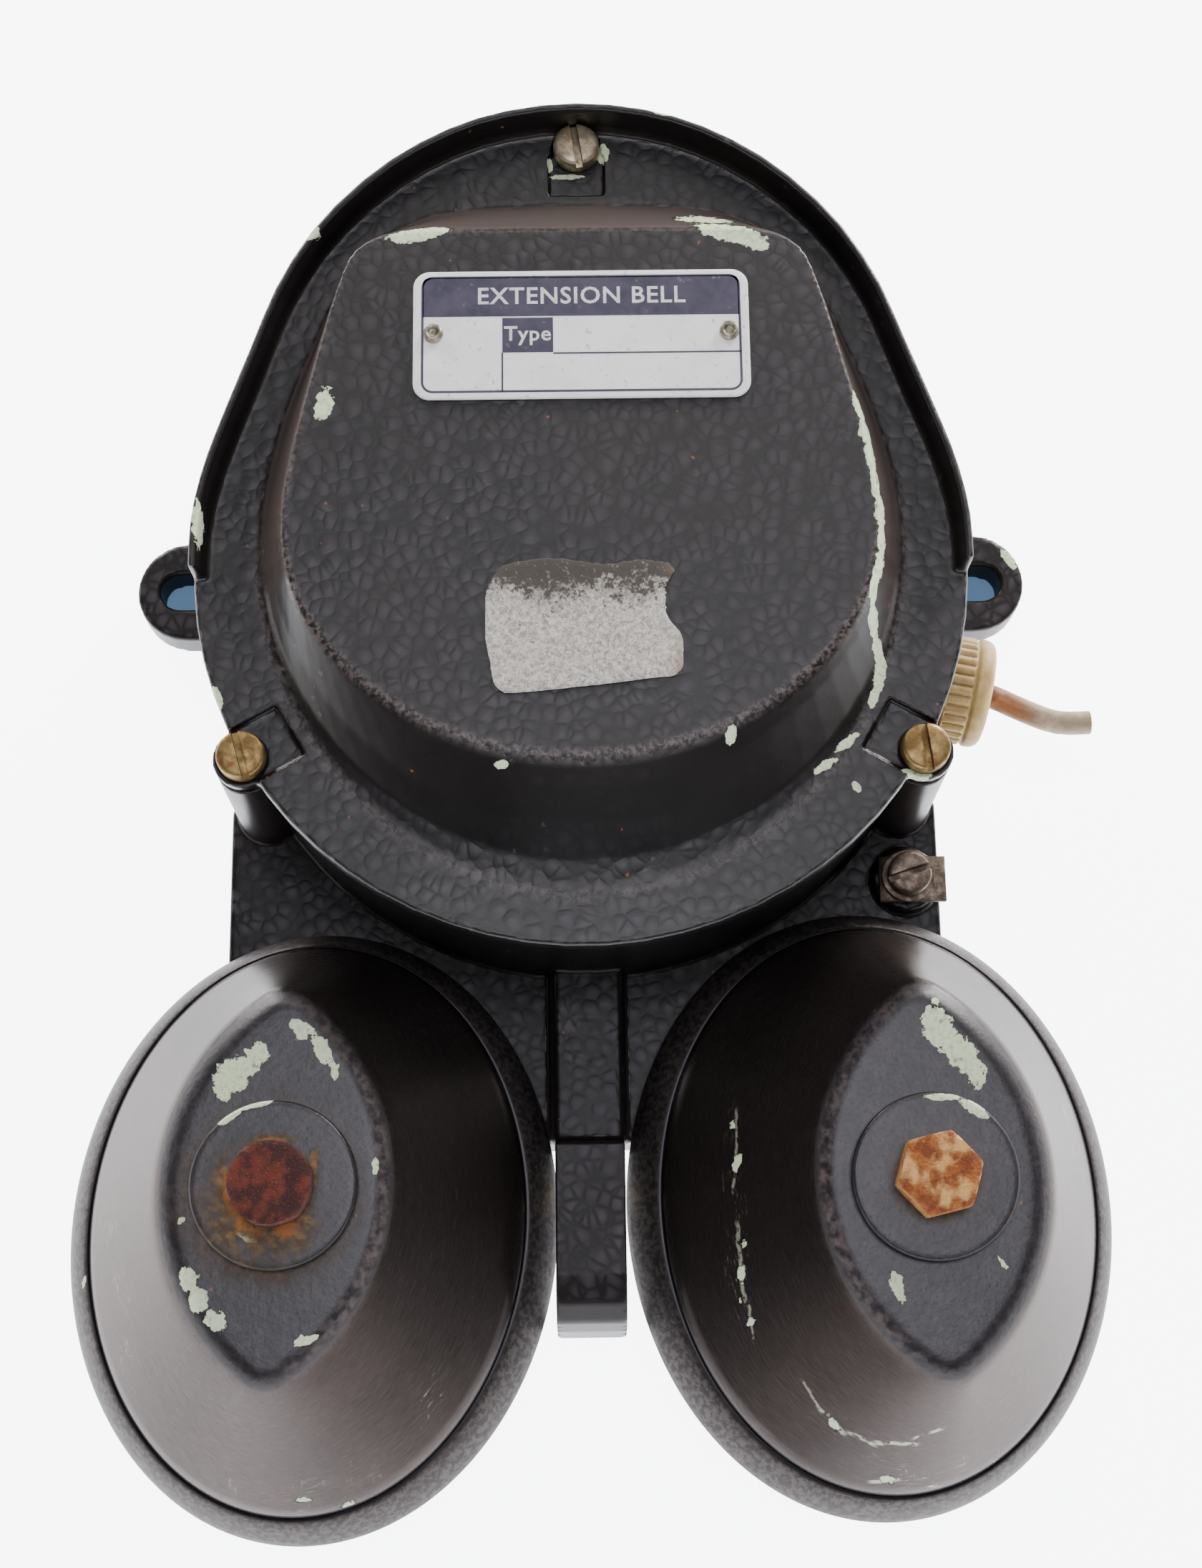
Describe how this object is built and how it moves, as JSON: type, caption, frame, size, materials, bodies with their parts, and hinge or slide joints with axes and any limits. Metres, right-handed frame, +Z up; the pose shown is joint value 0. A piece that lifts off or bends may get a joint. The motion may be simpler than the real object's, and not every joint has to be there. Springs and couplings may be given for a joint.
{
  "type": "weatherproof telephone extension bell",
  "caption": "Wall-mounted cast telephone bell: hooded egg-shaped casing with cover, oval gongs on posts below, striker between them, side cable gland and a cut lead.",
  "frame": {"origin": "on the flat back face that meets the wall, on the axis of the round lower half of the casing", "axes": "+Z up the wall, towards the hood; -Y out of the wall, towards the viewer; +X to the right as seen from the front; +Y into the wall"},
  "size_m": [0.1871, 0.0644, 0.2536],
  "materials": {
    "hammertone_casting": "charcoal-black hammertone enamel over cast metal",
    "gong_disc_enamel": "charcoal hammertone enamel",
    "gong_shell": "dark brown-grey, brushed, semi-matte",
    "gong_bolt": "plated steel, rusted",
    "cover_screw": "dull yellow passivated, rust spots",
    "name_plate": "printed aluminium, satin",
    "plate_rivet": "dull",
    "paper_label": "torn off-white paper, matte",
    "rubber": "matte",
    "fibre_washer": "vulcanised fibre, matte",
    "ivory_gland": "yellowed ivory plastic",
    "cable_sheath": "off-white PVC, rust stained",
    "zinc_hardware": "zinc plated, dull",
    "earth_screw": "dull, slotted",
    "chassis_steel": "plated sheet steel",
    "soft_iron": "dull soft iron",
    "magnet_steel": "dark magnet alloy",
    "coil_bobbin": "dark phenolic",
    "coil_winding": "enamelled copper wire",
    "terminal_phenolic": "dark phenolic",
    "terminal_screw": "bright",
    "capacitor_can": "satin can",
    "clapper": "plain steel wire",
    "striker_brass": "turned brass"
  },
  "bodies": {
    "root": {"housing": "hammertone_casting", "cover": "hammertone_casting", "gong_bolt_left": "gong_bolt", "gong_bolt_right": "gong_bolt", "cover_screw_top": "cover_screw", "cover_screw_left": "cover_screw", "cover_screw_right": "cover_screw", "name_plate": "name_plate", "plate_rivet_left": "plate_rivet", "plate_rivet_right": "plate_rivet", "paper_label": "paper_label", "cover_gasket": "rubber", "gland_seal": "rubber", "rod_seal": "rubber", "gong_washer_left": "fibre_washer", "gong_washer_right": "fibre_washer", "gland_nut": "ivory_gland", "gland_sleeve": "ivory_gland", "cable": "cable_sheath", "earth_clamp": "zinc_hardware", "earth_washer": "zinc_hardware", "chassis_screw_1": "zinc_hardware", "chassis_screw_2": "zinc_hardware", "chassis_screw_3": "zinc_hardware", "chassis_screw_4": "zinc_hardware", "core_screw_left": "zinc_hardware", "core_screw_right": "zinc_hardware", "bridge_screw_left": "zinc_hardware", "bridge_screw_right": "zinc_hardware", "earth_screw": "earth_screw", "chassis_plate": "chassis_steel", "bearing_bridge": "chassis_steel", "capacitor_clamp": "chassis_steel", "pivot_pin": "chassis_steel", "yoke": "soft_iron", "core_left": "soft_iron", "core_right": "soft_iron", "magnet": "magnet_steel", "bobbin_left": "coil_bobbin", "bobbin_right": "coil_bobbin", "winding_left": "coil_winding", "winding_right": "coil_winding", "terminal_block": "terminal_phenolic", "terminal_screw_1": "terminal_screw", "terminal_screw_2": "terminal_screw", "terminal_screw_3": "terminal_screw", "capacitor": "capacitor_can"},
    "striker": {"armature": "soft_iron", "clapper_rod": "clapper", "striker_ball": "striker_brass"},
    "left_gong": {"gong_left": "gong_shell", "gong_disc_left": "gong_disc_enamel"},
    "right_gong": {"gong_right": "gong_shell", "gong_disc_right": "gong_disc_enamel"}
  },
  "joints": [
    {"name": "striker_swing", "type": "hinge", "parent": "root", "child": "striker", "pos_m": [0, -0.026, -0.019], "axis": [0, -1, 0], "range_deg": [-1.7, 2.2]},
    {"name": "gong_left_turn", "type": "hinge", "parent": "root", "child": "left_gong", "pos_m": [-0.0533, -0.0415, -0.1064], "axis": [0, -1, 0], "range_deg": [-2, 2]},
    {"name": "gong_right_turn", "type": "hinge", "parent": "root", "child": "right_gong", "pos_m": [0.05865, -0.0415, -0.1064], "axis": [0, -1, 0], "range_deg": [-2, 2]}
  ]
}
